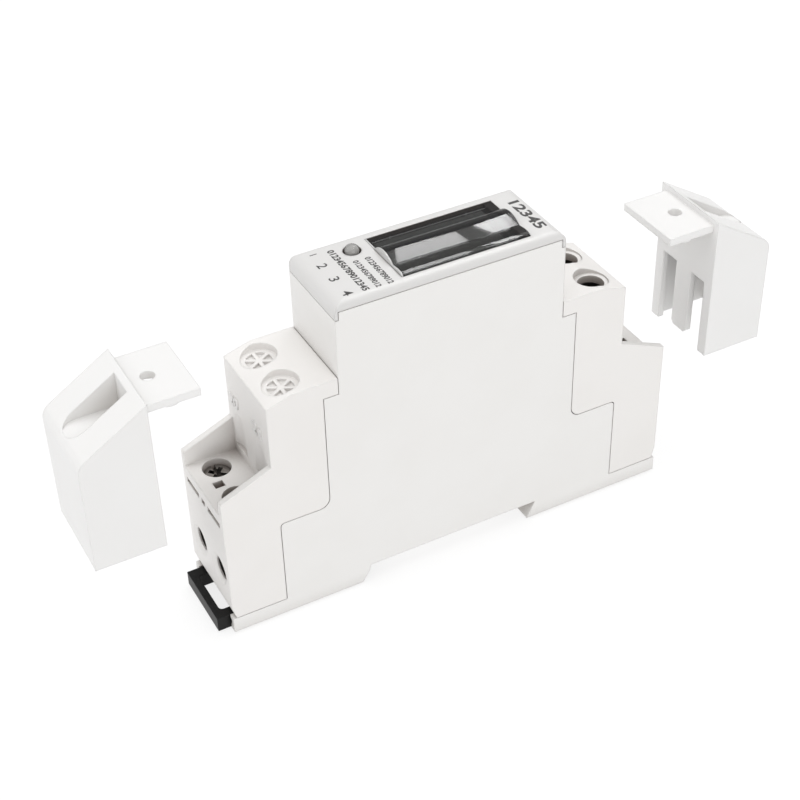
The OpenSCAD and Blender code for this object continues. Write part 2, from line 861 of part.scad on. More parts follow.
module pulse_cage(far) {
    translate([pulse_x, far ? term_y : -term_y, pulse_cage_top_h])
        clamp_cage(pulse_cage_l, pulse_cage_w, pulse_window_h, pulse_cage_top_t, pulse_cage_low_t,
            pulse_screw_d + 2 * thread_gap);
}

module left_far_screw() { supply_screw(false, true); }
module left_near_screw() { supply_screw(false, false); }
module right_far_screw() { supply_screw(true, true); }
module right_near_screw() { supply_screw(true, false); }
module pulse_far_screw() { pulse_screw(true); }
module pulse_near_screw() { pulse_screw(false); }
module left_far_cage() { supply_cage(false, true); }
module left_near_cage() { supply_cage(false, false); }
module right_far_cage() { supply_cage(true, true); }
module right_near_cage() { supply_cage(true, false); }
module pulse_far_cage() { pulse_cage(true); }
module pulse_near_cage() { pulse_cage(false); }

module bar_piece(x_from, x_to, y, width, thick) {
    translate([x_from, y - width / 2, bar_h + (bar_t - thick) / 2])
        cube([x_to - x_from, width, thick]);
}

module neutral_bar() {
    color(copper)
        bar_piece(-bar_end_x, bar_end_x, term_y, bar_w, bar_t);
}

module live_bar_in() {
    color(copper)
        bar_piece(-bar_end_x, -shunt_half_l, -term_y, bar_w, bar_t);
}

module live_bar_out() {
    color(copper)
        bar_piece(shunt_half_l, bar_end_x, -term_y, bar_w, bar_t);
}

module live_shunt() {
    color([0.62, 0.55, 0.48])
        difference() {
            bar_piece(-shunt_half_l, shunt_half_l, -term_y, bar_w, bar_t * shunt_share);
            for (s = [-1, 1])
                translate([s * shunt_notch_x, -term_y + s * bar_w / 2, bar_h - 1])
                    cylinder(r = shunt_notch_r, h = bar_t + 2);
        }
}

// Contacts of the pulse output, from the clamps to the edge of the main board
module pulse_contacts() {
    color(brass)
        both_terminals()
            translate([neck_x - wall - 1.2, -contact_w / 2, contact_h])
                cube([pulse_x + 3 - neck_x + wall + 1.2, contact_w, contact_t]);
}

// Main board, upright along the middle of the housing
module main_board() {
    wide = neck_x - wall - 0.2;
    narrow = front_x - wall - 0.4;
    color(board_green)
        profile_slab([[-wide, board_low_h], [wide, board_low_h], [wide, jog_h - wall - 0.4],
            [narrow, jog_h - wall - 0.4], [narrow, board_top_h], [-narrow, board_top_h],
            [-narrow, jog_h - wall - 0.4], [-wide, jog_h - wall - 0.4]], -board_t / 2, board_t / 2);
}

module display_board() {
    half_l = front_x - wall - 0.6;
    half_w = side - wall - 1.3;
    color(board_green)
        translate([-half_l, -half_w, display_board_h])
            cube([2 * half_l, 2 * half_w, display_board_t]);
}

module panel_light_box() {
    color([0.9, 0.9, 0.86])
        translate([window_x - panel_l / 2 - light_box_margin, -panel_w / 2,
            display_board_h + display_board_t + face_gap])
            cube([panel_l + 2 * light_box_margin, panel_w, light_box_t]);
}

module display_panel() {
    low_h = display_board_h + display_board_t + 2 * face_gap + light_box_t;
    color([0.45, 0.50, 0.45])
        translate([window_x - panel_l / 2, -panel_w / 2, low_h]) {
            cube([panel_l, panel_w, panel_t / 2]);
            translate([0, panel_step_w, panel_t / 2 - eps])
                cube([panel_l, panel_w - panel_step_w, panel_t / 2 + eps]);
        }
}

// Board parts, each a face gap away from the board that carries it
module film_capacitor() {
    color([0.85, 0.75, 0.2])
        translate([film_x, board_t / 2 + face_gap, film_h])
            difference() {
                cube(film_size);
                for (x = [0, film_size[0]])
                    translate([x, film_size[1], film_size[2] / 2])
                        rotate([0, 0, 45])
                            cube([film_chamfer, film_chamfer, film_size[2] + 2], center = true);
            }
}

module smoothing_capacitor() {
    color([0.15, 0.2, 0.3])
        translate([smooth_x, -board_t / 2 - face_gap - smooth_r, smooth_h]) {
            cylinder(r = smooth_r, h = smooth_l);
            translate([0, 0, smooth_l])
                cylinder(r1 = smooth_r, r2 = smooth_r - round_over, h = round_over);
        }
}

module varistor() {
    color([0.2, 0.35, 0.65])
        translate([varistor_x, board_t / 2 + face_gap, varistor_h])
            rotate([-90, 0, 0]) {
                cylinder(r = varistor_r, h = varistor_t, $fn = 48);
                translate([0, 0, varistor_t])
                    cylinder(r1 = varistor_r, r2 = varistor_r - round_over, h = round_over, $fn = 48);
            }
}

module meter_chip() {
    count = 8;
    color([0.12, 0.12, 0.13])
        translate([chip_x, -board_t / 2 - face_gap, chip_h]) {
            translate([-chip_size[0] / 2, -chip_size[1], -chip_size[2] / 2])
                cube(chip_size);
            for (i = [0 : count - 1], s = [-1, 1])
                translate([(i - (count - 1) / 2) * lead_pitch, -lead_size[1] / 2,
                    s * (chip_size[2] + lead_size[2] - 0.2) / 2])
                    cube(lead_size, center = true);
        }
}

module pulse_coupler() {
    color([0.88, 0.88, 0.86])
        translate([coupler_x - coupler_size[0] / 2, -board_t / 2 - face_gap - coupler_size[1],
            coupler_h - coupler_size[2] / 2])
            cube(coupler_size);
}

// Pin header that joins the two boards
module board_header() {
    pin_h = display_board_h - face_gap - board_top_h + header_cell[2];
    color([0.1, 0.1, 0.1])
        for (i = [0 : header_pins - 1])
            translate([header_x + (i - (header_pins - 1) / 2) * header_cell[0],
                -board_t / 2 - face_gap - header_cell[1] / 2, board_top_h - header_cell[2]]) {
                translate([-header_cell[0] / 2, -header_cell[1] / 2, 0])
                    cube(header_cell);
                translate([-header_pin_w / 2, -header_pin_w / 2, header_cell[2] - eps])
                    cube([header_pin_w, header_pin_w, pin_h - header_cell[2] + eps]);
            }
}

main_case();
front_cap();
display_window();
pulse_light();
left_terminal_block();
right_terminal_block();
left_cover();
right_cover();
rail_clip();
left_far_screw();
left_near_screw();
right_far_screw();
right_near_screw();
pulse_far_screw();
pulse_near_screw();
left_far_cage();
left_near_cage();
right_far_cage();
right_near_cage();
pulse_far_cage();
pulse_near_cage();
neutral_bar();
live_bar_in();
live_shunt();
live_bar_out();
pulse_contacts();
main_board();
display_board();
display_panel();
panel_light_box();
film_capacitor();
smoothing_capacitor();
varistor();
meter_chip();
pulse_coupler();
board_header();
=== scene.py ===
import logging
import math
from dataclasses import dataclass, field, replace
from enum import Enum
from typing import Callable, Sequence, Union

import bmesh
import bpy
from mathutils import Matrix, Vector


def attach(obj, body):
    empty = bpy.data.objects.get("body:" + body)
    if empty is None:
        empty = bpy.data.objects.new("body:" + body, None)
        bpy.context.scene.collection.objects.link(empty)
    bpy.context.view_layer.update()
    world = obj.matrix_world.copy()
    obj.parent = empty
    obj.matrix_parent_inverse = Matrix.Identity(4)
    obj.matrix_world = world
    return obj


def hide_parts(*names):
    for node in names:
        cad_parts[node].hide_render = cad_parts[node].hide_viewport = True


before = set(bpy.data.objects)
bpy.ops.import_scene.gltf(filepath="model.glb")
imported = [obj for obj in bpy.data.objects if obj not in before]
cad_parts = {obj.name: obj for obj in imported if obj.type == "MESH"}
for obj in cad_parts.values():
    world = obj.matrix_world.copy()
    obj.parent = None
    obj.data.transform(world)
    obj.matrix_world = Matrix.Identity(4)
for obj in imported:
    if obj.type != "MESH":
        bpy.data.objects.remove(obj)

logging.basicConfig(level=logging.INFO, format="%(name)s: %(message)s")
LOG = logging.getLogger("rail meter")

MM = 0.001
Point2 = tuple[float, float]
Colour = tuple[float, float, float]
Number = Union[int, float]
Operand = Union["Value", Number]


def millimetres(*values: float) -> Vector:
    """Turn a place or size in millimetres into metres.

    Args:
        *values: The three lengths in millimetres.

    Returns:
        The vector in metres.
    """
    return Vector(values) * MM


class Value:
    """A number, colour or vector socket that takes part in Python expressions."""

    def __init__(self, recipe: "Recipe", socket: bpy.types.NodeSocket) -> None:
        """Keep the recipe that owns the socket, and the socket itself."""
        self.recipe = recipe
        self.socket = socket

    def _math(self, operation: str, first: Operand, second: Operand) -> "Value":
        """Add one Math node.

        Args:
            operation: The node's operation.
            first: The upper operand.
            second: The lower operand.

        Returns:
            The node's result.
        """
        return self.recipe.value("ShaderNodeMath", 0, {"operation": operation}, {0: first, 1: second})

    def __add__(self, other: Operand) -> "Value":
        """Add another value or number."""
        return self._math("ADD", self, other)

    def __radd__(self, other: Operand) -> "Value":
        """Add this value to a number."""
        return self._math("ADD", other, self)

    def __sub__(self, other: Operand) -> "Value":
        """Take another value or number away."""
        return self._math("SUBTRACT", self, other)

    def __rsub__(self, other: Operand) -> "Value":
        """Take this value away from a number."""
        return self._math("SUBTRACT", other, self)

    def __mul__(self, other: Operand) -> "Value":
        """Multiply by another value or number."""
        return self._math("MULTIPLY", self, other)

    def __rmul__(self, other: Operand) -> "Value":
        """Multiply a number by this value."""
        return self._math("MULTIPLY", other, self)

    def __truediv__(self, other: Operand) -> "Value":
        """Divide by another value or number."""
        return self._math("DIVIDE", self, other)

    def __rtruediv__(self, other: Operand) -> "Value":
        """Divide a number by this value."""
        return self._math("DIVIDE", other, self)

    def __pow__(self, other: Operand) -> "Value":
        """Raise to a power."""
        return self._math("POWER", self, other)

    def smooth_step(self, low: float, high: float) -> "Value":
        """Ease from 0 to 1 while this value goes from one bound to the other.

        Args:
            low: The value where the result leaves 0.
            high: The value where the result reaches 1.

        Returns:
            The eased value.
        """
        return self.recipe.value(
            "ShaderNodeMapRange", 0, {"interpolation_type": "SMOOTHSTEP"},
            {"Value": self, "From Min": low, "From Max": high})

    def dot(self, other: "Value") -> "Value":
        """Give the dot product with another vector."""
        return self.recipe.value("ShaderNodeVectorMath", "Value", {"operation": "DOT_PRODUCT"},
                                 {0: self, 1: other})


class Recipe:
    """The node tree of one material, and the single method that makes its nodes."""

    def __init__(self, name: str) -> None:
        """Make an empty material with its output node."""
        self.material = bpy.data.materials.new(name)
        self.material.use_nodes = True
        self.tree = self.material.node_tree
        self.tree.nodes.clear()
        self.output = self.node("ShaderNodeOutputMaterial")

    def node(self, kind: str, settings: dict[str, object] | None = None,
             inputs: dict[int | str, object] | None = None) -> bpy.types.Node:
        """Make a node, set it up, and fill or link its sockets.

        Args:
            kind: The node's type.
            settings: The node's own properties, set first.
            inputs: Numbers, tuples or values for the sockets, by name or place.

        Returns:
            The new node.
        """
        made = self.tree.nodes.new(kind)
        for key, setting in (settings or {}).items():
            setattr(made, key, setting)
        for key, content in (inputs or {}).items():
            socket = made.inputs[key]
            if isinstance(content, Value):
                self.tree.links.new(content.socket, socket)
            elif isinstance(content, tuple) and socket.type == "RGBA":
                socket.default_value = (*content, 1.0)
            else:
                socket.default_value = content
        return made

    def value(self, kind: str, output: int | str, settings: dict[str, object] | None = None,
              inputs: dict[int | str, object] | None = None) -> Value:
        """Make a node and wrap one of its outputs.

        Args:
            kind: The node's type.
            output: The output, by name or place.
            settings: The node's own properties.
            inputs: What goes into its sockets.

        Returns:
            The wrapped output.
        """
        return Value(self, self.node(kind, settings, inputs).outputs[output])

    def place(self) -> Value:
        """Give the place on the object, in metres."""
        return self.value("ShaderNodeTexCoord", "Object")

    def noise(self, size: float, detail: float = 2.0, rough: float = 0.5, where: Value | None = None) -> Value:
        """Make noise with features of a given size.

        Args:
            size: The size of a feature in metres.
            detail: The number of finer layers.
            rough: The share of the finer layers.
            where: The coordinates, by default the place on the object.

        Returns:
            A value from 0 to 1.
        """
        return self.value("ShaderNodeTexNoise", "Fac", None,
                          {"Vector": where or self.place(), "Scale": 1.0 / size, "Detail": detail,
                           "Roughness": rough})

    def mix(self, factor: Operand, low: Colour | Value, high: Colour | Value, blend: str = "MIX") -> Value:
        """Mix two colours.

        Args:
            factor: The share of the second colour.
            low: The first colour.
            high: The second colour.
            blend: The way the two are blended.

        Returns:
            The mixed colour.
        """
        return self.value("ShaderNodeMix", 2, {"data_type": "RGBA", "blend_type": blend},
                          {0: factor, 6: low, 7: high})

    def soft_edges(self, radius: float, samples: int = 6) -> Value:
        """Give a normal that rounds the sharp edges over a radius in metres."""
        return self.value("ShaderNodeBevel", 0, {"samples": samples}, {"Radius": radius})

    def edge_mask(self, rounded: Value) -> Value:
        """Give 1 along the rounded edges and 0 on the flats.

        Args:
            rounded: The normal from soft_edges.

        Returns:
            The mask.
        """
        flat = self.value("ShaderNodeNewGeometry", "Normal")
        return (1.0 - rounded.dot(flat)).smooth_step(0.01, 0.16)

    def crevices(self, distance: float, samples: int = 6) -> Value:
        """Give 0 deep inside holes and corners and 1 in the open.

        Args:
            distance: How far the surroundings count, in metres.
            samples: The number of rays.

        Returns:
            The openness.
        """
        return self.value("ShaderNodeAmbientOcclusion", "AO", {"samples": samples}, {"Distance": distance})

    def bump(self, height: Value, depth: float, normal: Value | None = None, strength: float = 1.0) -> Value:
        """Turn heights into a normal.

        Args:
            height: The height from 0 to 1.
            depth: The depth in metres between 0 and 1.
            normal: The normal that the bump starts from.
            strength: The share of the bump that is used.

        Returns:
            The bumped normal.
        """
        inputs: dict[int | str, object] = {"Height": height, "Distance": depth, "Strength": strength}
        if normal:
            inputs["Normal"] = normal
        return self.value("ShaderNodeBump", 0, None, inputs)

    def surface(self, **inputs: object) -> bpy.types.Material:
        """Close the recipe with a Principled shader.

        Args:
            **inputs: Its sockets by name, with underscores for spaces.

        Returns:
            The finished material.
        """
        shader = self.node("ShaderNodeBsdfPrincipled", None,
                           {key.replace("_", " "): content for key, content in inputs.items()})
        self.tree.links.new(shader.outputs[0], self.output.inputs["Surface"])
        return self.material


@dataclass(frozen=True)
class MouldedPlastic:
    """Moulded plastic with an eroded grain, softened edges, faint flow marks, a painted highlight along its edges
    and painted shade in its holes and corners.
    """

    name: str
    colour: Colour
    shade: Colour
    roughness: float
    # Colour factor of the painted shade in holes and corners.
    deep: Colour = (0.27, 0.22, 0.19)
    edge_radius: float = 0.42 * MM
    grain: float = 0.16 * MM
    grain_depth: float = 0.004 * MM
    specular: float = 0.4
    # Height above which the painted shade in holes is weakened, and by how much.
    pale_above: float | None = None
    paleness: float = 0.75

    def material(self) -> bpy.types.Material:
        """Build the material.

        Returns:
            The finished material.
        """
        recipe = Recipe(self.name)
        rounded = recipe.soft_edges(self.edge_radius)
        edge = recipe.edge_mask(rounded)
        flow = recipe.noise(14.0 * MM, 3.0, 0.55)
        grain = recipe.noise(self.grain, 3.0, 0.6)
        cloud = recipe.mix(flow.smooth_step(0.35, 0.7) * 0.55, self.colour, self.shade)
        speckled = recipe.mix(grain.smooth_step(0.5, 0.8) * 0.16, cloud, self.shade)
        # Painted highlight: the rounded edges are mixed towards a lighter copy of the colour, as if they catch the
        # light.
        lit = tuple(min(0.97, c * 1.2 + 0.01) for c in self.colour)
        edge_highlit = recipe.mix(edge * 0.85, speckled, lit)
        # Painted shade: holes, recesses and inner corners, found by occlusion, are darkened towards the colour
        # times deep, less so above pale_above.
        depth = (1.0 - recipe.crevices(7.0 * MM)).smooth_step(0.33, 0.95)
        if self.pale_above:
            high = recipe.value("ShaderNodeSeparateXYZ", "Z", None, {0: recipe.place()})
            depth = depth * (1.0 - self.paleness * high.smooth_step(self.pale_above, self.pale_above + 3.0 * MM))
        shaded = recipe.mix(depth, edge_highlit, tuple(c * d for c, d in zip(self.colour, self.deep)))
        rough = self.roughness + 0.10 * (grain - 0.5) + 0.06 * (flow - 0.5) - 0.08 * edge
        return recipe.surface(Base_Color=shaded, Roughness=rough, Specular_IOR_Level=self.specular,
                              Normal=recipe.bump(grain, self.grain_depth, rounded))


@dataclass(frozen=True)
class SmokedPlastic:
    """Clear smoked plastic, polished, with faint scratches from wiping."""

    name: str
    tint: Colour
    density: float
    roughness: float = 0.02
    ior: float = 1.7

    def material(self) -> bpy.types.Material:
        """Build the material.

        Returns:
            The finished material.
        """
        recipe = Recipe(self.name)
        haze = recipe.noise(6.0 * MM, 2.0)
        fine = recipe.noise(0.5 * MM, 2.0)
        tone = recipe.mix(haze * 0.4, self.tint, tuple(c * 0.85 for c in self.tint))
        return recipe.surface(Base_Color=tone, Roughness=self.roughness + 0.03 * haze.smooth_step(0.45, 0.8),
                              IOR=self.ior, Alpha=self.density,
                              Normal=recipe.bump(fine, 0.0002 * MM))


@dataclass(frozen=True)
class PlatedMetal:
    """Plated or rolled metal with fine turning or drawing marks, and painted shade in its holes and corners."""

    name: str
    colour: Colour
    roughness: float
    mark: float = 0.12 * MM
    mark_depth: float = 0.003 * MM
    edge_radius: float = 0.08 * MM

    def material(self) -> bpy.types.Material:
        """Build the material.

        Returns:
            The finished material.
        """
        recipe = Recipe(self.name)
        rounded = recipe.soft_edges(self.edge_radius, 4)
        stretched = recipe.value("ShaderNodeVectorMath", 0, {"operation": "MULTIPLY"},
                                 {0: recipe.place(), 1: (0.2, 1.0, 1.0)})
        drawn = recipe.noise(self.mark, 3.0, 0.6, stretched)
        patch = recipe.noise(2.5 * MM, 3.0)
        tone = recipe.mix(patch.smooth_step(0.35, 0.7) * 0.5, self.colour, tuple(c * 0.72 for c in self.colour))
        # Painted shade: holes and corners, found by occlusion, darken towards 0.3 of the colour.
        tone = recipe.mix((1.0 - recipe.crevices(4.0 * MM)).smooth_step(0.3, 0.9), tone,
                          tuple(c * 0.3 for c in self.colour))
        return recipe.surface(Base_Color=tone, Metallic=1.0,
                              Roughness=self.roughness + 0.18 * (drawn - 0.5) + 0.1 * (patch - 0.5),
                              Normal=recipe.bump(drawn, self.mark_depth, rounded))


@dataclass(frozen=True)
class BoardLacquer:
    """Solder mask over a woven board, with paler tracks under it."""

    name: str
    colour: Colour = (0.012, 0.085, 0.035)
    track: Colour = (0.03, 0.16, 0.07)

    def material(self) -> bpy.types.Material:
        """Build the material.

        Returns:
            The finished material.
        """
        recipe = Recipe(self.name)
        cells = recipe.value("ShaderNodeTexBrick", "Fac", {"offset": 0.35},
                             {"Vector": recipe.place(), "Scale": 260.0, "Mortar Size": 0.035})
        weave = recipe.noise(0.3 * MM, 2.0)
        tone = recipe.mix(cells * 0.9, self.colour, self.track)
        return recipe.surface(Base_Color=tone, Roughness=0.3 + 0.15 * weave,
                              Normal=recipe.bump(cells + 0.3 * weave, 0.02 * MM))


@dataclass(frozen=True)
class GlossCoat:
    """A dipped, sleeved or glass surface: smooth, glossy, with slight waviness."""

    name: str
    colour: Colour
    roughness: float = 0.15
    ripple: float = 1.2 * MM
    ripple_depth: float = 0.01 * MM

    def material(self) -> bpy.types.Material:
        """Build the material.

        Returns:
            The finished material.
        """
        recipe = Recipe(self.name)
        wave = recipe.noise(self.ripple, 2.0)
        tone = recipe.mix(wave.smooth_step(0.4, 0.7) * 0.5, self.colour, tuple(c * 0.75 for c in self.colour))
        return recipe.surface(Base_Color=tone, Roughness=self.roughness + 0.08 * wave,
                              Normal=recipe.bump(wave, self.ripple_depth, recipe.soft_edges(0.15 * MM, 4)))


@dataclass(frozen=True)
class PrintedInk:
    """Pad-printed black ink, a little thin in places."""

    name: str
    colour: Colour = (0.065, 0.063, 0.062)

    def material(self) -> bpy.types.Material:
        """Build the material.

        Returns:
            The finished material.
        """
        recipe = Recipe(self.name)
        thin = recipe.noise(0.25 * MM, 2.0).smooth_step(0.55, 0.85)
        tone = recipe.mix(thin * 0.5, self.colour, (0.12, 0.12, 0.12))
        return recipe.surface(Base_Color=tone, Roughness=0.5 + 0.1 * thin, Specular_IOR_Level=0.3)


@dataclass(frozen=True)
class StudioFloor:
    """Plain pale floor that stays white under the soft light."""

    name: str = "pale_floor"
    colour: Colour = (0.22, 0.22, 0.22)
    glow: float = 0.79

    def material(self) -> bpy.types.Material:
        """Build the material.

        Returns:
            The finished material.
        """
        recipe = Recipe(self.name)
        mottle = recipe.noise(90.0 * MM, 2.0)
        tone = recipe.mix(mottle * 0.3, self.colour, tuple(c * 0.99 for c in self.colour))
        return recipe.surface(Base_Color=tone, Roughness=0.9, Emission_Color=(1.0, 1.0, 1.0),
                              Emission_Strength=self.glow)


# The deep colours set the painted shade in holes and corners: dark on the case, faint on the covers; on the left
# block it fades above 42 mm.
BODY = MouldedPlastic("body_plastic", (0.800, 0.790, 0.775), (0.780, 0.767, 0.748), 0.46,
                      deep=(0.40, 0.36, 0.33))
BLOCK = MouldedPlastic("block_plastic", (0.805, 0.788, 0.770), (0.780, 0.760, 0.738), 0.44)
LEFT_BLOCK = replace(BLOCK, name="left_block_plastic", pale_above=42.0 * MM)
CAP = MouldedPlastic("cap_plastic", (0.668, 0.661, 0.652), (0.650, 0.642, 0.632), 0.40)
COVER = MouldedPlastic("cover_plastic", (0.800, 0.795, 0.787), (0.783, 0.776, 0.765), 0.42,
                       deep=(0.90, 0.88, 0.86))
RAISED = GlossCoat("raised_plastic", (0.80, 0.79, 0.775), 0.38)
CLIP = MouldedPlastic("clip_plastic", (0.008, 0.008, 0.008), (0.014, 0.014, 0.014), 0.40, grain_depth=0.006 * MM,
                      specular=0.16)
WINDOW = SmokedPlastic("smoked_window", (0.016, 0.015, 0.015), 0.42)
WINDOW_END = MouldedPlastic("window_end", (0.050, 0.040, 0.036), (0.065, 0.053, 0.048), 0.25, edge_radius=0.1 * MM)
# Light grey that paints the reflection of the white cap in the clear left end of the lens.
END_REFLECTION_GREY = GlossCoat("end_painted_reflection", (0.58, 0.58, 0.57), 0.3)
DOME = SmokedPlastic("light_dome", (0.16, 0.155, 0.15), 0.40)
LIGHT_CORE = GlossCoat("light_core", (0.66, 0.65, 0.63), 0.35)
SCREW = PlatedMetal("screw_steel", (0.46, 0.44, 0.42), 0.17)
# Near-black metal for the hole collars, which paint the shade deep inside the wire entries and pulse wells.
SHADE_COLLAR = PlatedMetal("painted_hole_shade", (0.10, 0.09, 0.085), 0.35)
CAGE = PlatedMetal("cage_steel", (0.45, 0.43, 0.40), 0.34)
BAR = PlatedMetal("bar_metal", (0.80, 0.50, 0.36), 0.32)
SHUNT = PlatedMetal("shunt_metal", (0.60, 0.52, 0.45), 0.36)
BOARD = BoardLacquer("board_lacquer")
PANEL = GlossCoat("panel_glass", (0.17, 0.18, 0.16), 0.10)
LIGHT_BOX = GlossCoat("light_box", (0.75, 0.75, 0.72), 0.4)
BEZEL = MouldedPlastic("bezel_plastic", (0.006, 0.006, 0.006), (0.010, 0.010, 0.010), 0.32)
# Bright white: on the rim step it paints the light line along the frame's step edge; the lens studs are given the
# same white.
STEP = GlossCoat("step_plastic", (0.92, 0.92, 0.91), 0.15)
RIM = GlossCoat("rim_glass", (0.22, 0.23, 0.22), 0.2)
SEGMENT = PrintedInk("segment_tone", (0.110, 0.116, 0.104))
INK = PrintedInk("printed_ink")
FILM = GlossCoat("film_case", (0.62, 0.46, 0.06), 0.3)
SLEEVE = GlossCoat("sleeve", (0.02, 0.03, 0.07), 0.2)
VARISTOR = GlossCoat("dipped_coat", (0.03, 0.09, 0.30), 0.25)
CHIP = MouldedPlastic("chip_body", (0.012, 0.012, 0.013), (0.018, 0.018, 0.018), 0.5)
COUPLER = MouldedPlastic("coupler_body", (0.62, 0.62, 0.59), (0.58, 0.58, 0.55), 0.45)

Finish = Union[MouldedPlastic, SmokedPlastic, PlatedMetal, BoardLacquer, GlossCoat, PrintedInk, StudioFloor]
_made: dict[str, bpy.types.Material] = {}


def finish_material(finish: Finish) -> bpy.types.Material:
    """Build a finish once and hand the same material out again.

    Args:
        finish: The finish.

    Returns:
        Its material.
    """
    if finish.name not in _made:
        _made[finish.name] = finish.material()
    return _made[finish.name]


def dress_node(node: str, finish: Finish) -> None:
    """Give every slot of a CAD node a finish.

    Args:
        node: The node's name.
        finish: The finish for it.
    """
    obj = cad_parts[node]
    for slot in obj.material_slots:
        slot.material = finish_material(finish)
    LOG.info("dressed %s in %s", node, finish.name)


class Body(Enum):
    """The moving bodies that pieces ride on."""

    HOUSING = "housing"
    LEFT_COVER = "left_cover"
    RIGHT_COVER = "right_cover"


def add_piece(name: str, mesh: bmesh.types.BMesh, finish: Finish, body: Body,
              smooth_angle: float = 35.0) -> bpy.types.Object:
    """Turn a mesh into a piece that rides on a body.

    Args:
        name: The piece's name.
        mesh: Its geometry in metres, in the shared frame. It is freed here.
        finish: Its finish.
        body: The body it rides on.
        smooth_angle: The angle in degrees up to which faces meet smoothly.

    Returns:
        The new object.
    """
    data = bpy.data.meshes.new(name)
    bmesh.ops.recalc_face_normals(mesh, faces=mesh.faces)
    for face in mesh.faces:
        face.smooth = True
    mesh.to_mesh(data)
    mesh.free()
    data.set_sharp_from_angle(angle=math.radians(smooth_angle))
    data.materials.append(finish_material(finish))
    obj = bpy.data.objects.new(name, data)
    bpy.context.scene.collection.objects.link(obj)
    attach(obj, body.value)
    LOG.info("%s: %d faces on %s", name, len(data.polygons), body.value)
    return obj


def arc_between(start: Point2, end: Point2, bulge: float, count: int) -> list[Point2]:
    """Give points on the shallow arc that bulges upwards between two places.

    Args:
        start: The first end, as Y and Z.
        end: The last end, at a lower Y.
        bulge: The height of the arc over its chord.
        count: The number of steps.

    Returns:
        The points, with both ends.
    """
    half = math.dist(start, end) / 2
    radius = (half * half + bulge * bulge) / (2 * bulge)
    spread = math.asin(half / radius)
    lean = math.atan2(start[1] - end[1], start[0] - end[0])
    middle = ((start[0] + end[0]) / 2, (start[1] + end[1]) / 2)
    centre = (middle[0] + (radius - bulge) * math.sin(lean), middle[1] - (radius - bulge) * math.cos(lean))
    turns = [math.pi / 2 + lean - spread + 2 * spread * i / count for i in range(count + 1)]
    return [(centre[0] + radius * math.cos(t), centre[1] + radius * math.sin(t)) for t in turns]


def rounded_slab(mesh: bmesh.types.BMesh, centre: Vector, size: Vector, radius: float, segments: int = 3) -> None:
    """Add a block with rounded edges.

    Args:
        mesh: The mesh that it is added to.
        centre: Its middle in metres.
        size: Its size in metres.
        radius: The radius of its edges in metres.
        segments: The number of faces round an edge.
    """
    made = bmesh.ops.create_cube(mesh, size=1.0)
    for vert in made["verts"]:
        vert.co = Vector(c * s for c, s in zip(vert.co, size)) + centre
    edges = list({edge for vert in made["verts"] for edge in vert.link_edges})
    bmesh.ops.bevel(mesh, geom=edges, offset=radius, segments=segments, profile=0.5, affect="EDGES")


def lathe(mesh: bmesh.types.BMesh, profile: Sequence[Point2], centre: Vector, count: int = 32) -> None:
    """Add a round piece about the vertical axis.

    Args:
        mesh: The mesh that it is added to.
        profile: Radius and height pairs in metres, from the axis at the bottom to the axis at the top.
        centre: The place of the axis at height 0.
        count: The number of steps round the axis.
    """
    rings = []
    for radius, height in profile:
        if radius <= 0:
            rings.append([mesh.verts.new(centre + Vector((0, 0, height)))])
        else:
            rings.append([
                mesh.verts.new(centre + Vector((radius * math.cos(2 * math.pi * i / count),
                                                radius * math.sin(2 * math.pi * i / count), height)))
                for i in range(count)])
    for low, high in zip(rings, rings[1:]):
        for i in range(count):
            j = (i + 1) % count
            corners = [low[i % len(low)], low[j % len(low)], high[j % len(high)], high[i % len(high)]]
            mesh.faces.new(list(dict.fromkeys(corners)))


@dataclass
class Digits:
    """Plain numbers, raised from or printed on a face."""

    name: str
    text: str
    place: tuple[float, float, float]
    height: float
    across: Vector
    up: Vector
    thick: float
    bold: float
    finish: Finish
    slot: str
    run: float = 0.0
    body: Body = Body.HOUSING

    def build(self) -> bpy.types.Object:
        """Build the numbers as a mesh.

        Returns:
            The new object.
        """
        curve = bpy.data.curves.new(self.name, "FONT")
        curve.body = self.text
        curve.size = 1.0
        curve.offset = self.bold
        curve.resolution_u = 3
        maker = bpy.data.objects.new(self.name + "_maker", curve)
        bpy.context.scene.collection.objects.link(maker)
        outline = bpy.data.meshes.new_from_object(maker.evaluated_get(bpy.context.evaluated_depsgraph_get()))
        bpy.data.objects.remove(maker)
        mesh = bmesh.new()
        mesh.from_mesh(outline)
        bpy.data.meshes.remove(outline)
        tall = self.height * MM / max(vert.co.y for vert in mesh.verts)
        wide = self.run * MM / max(vert.co.x for vert in mesh.verts) if self.run else tall
        out = self.across.cross(self.up)
        grown = bmesh.ops.extrude_face_region(mesh, geom=list(mesh.faces))
        raised = {item for item in grown["geom"] if isinstance(item, bmesh.types.BMVert)}
        for vert in mesh.verts:
            lift = self.thick * MM if vert in raised else 0.0
            vert.co = (millimetres(*self.place) + self.across * vert.co.x * wide
                       + self.up * vert.co.y * tall + out * lift)
        return add_piece(self.name, mesh, self.finish, self.body, 20.0)


